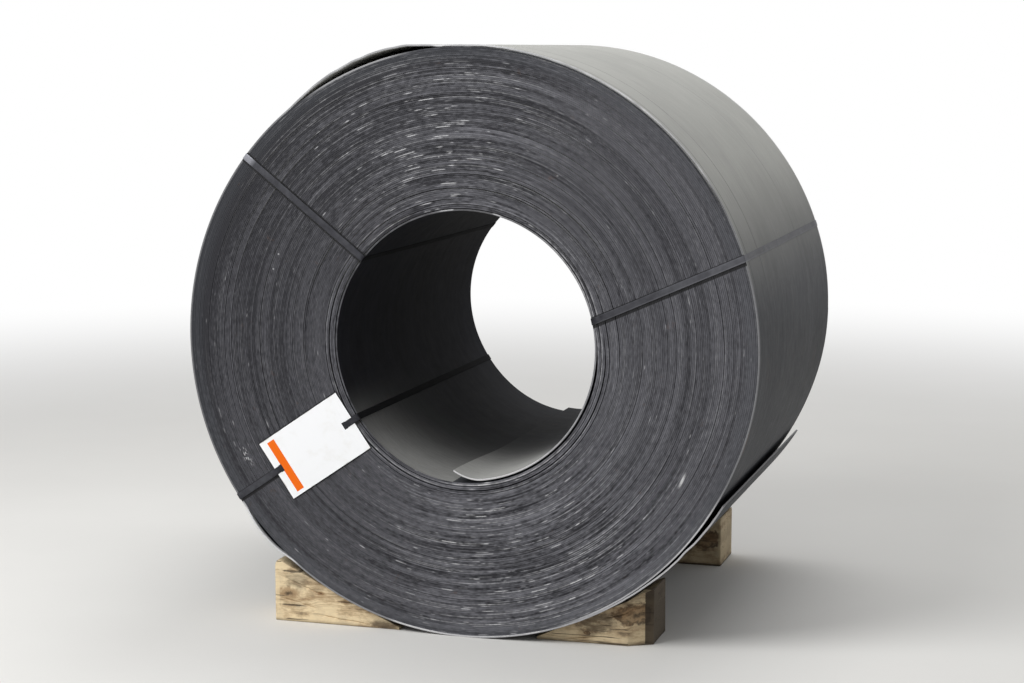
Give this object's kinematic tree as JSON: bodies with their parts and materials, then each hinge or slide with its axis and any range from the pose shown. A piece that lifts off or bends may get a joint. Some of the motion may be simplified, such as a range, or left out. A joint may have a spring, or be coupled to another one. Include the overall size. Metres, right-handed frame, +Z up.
{
  "type": "steel coil",
  "caption": "Hot-rolled steel strip coil lying on its side on timber wedges, strapped through its eye, with a blank card tag.",
  "frame": {"origin": "on the floor, under the middle of the coil", "axes": "+Z up, the coil's axis along Y with its near, tagged end facing -Y, +X to the right of that end"},
  "size_m": [1.6819, 1.2546, 1.682],
  "materials": {
    "mill_scale_steel": "satin",
    "strapping": "satin",
    "seal_steel": "satin",
    "tag_card": "satin",
    "sawn_timber": "matte"
  },
  "bodies": {
    "root": {"steel_coil": "mill_scale_steel", "strap_upper_left": "strapping", "strap_lower_left": "strapping", "strap_right": "strapping", "seal_upper_left": "seal_steel", "seal_lower_left": "seal_steel", "seal_right": "seal_steel", "tag": "tag_card", "chock_near_left": "sawn_timber", "chock_near_right": "sawn_timber", "chock_far_left": "sawn_timber", "chock_far_right": "sawn_timber"}
  },
  "joints": []
}
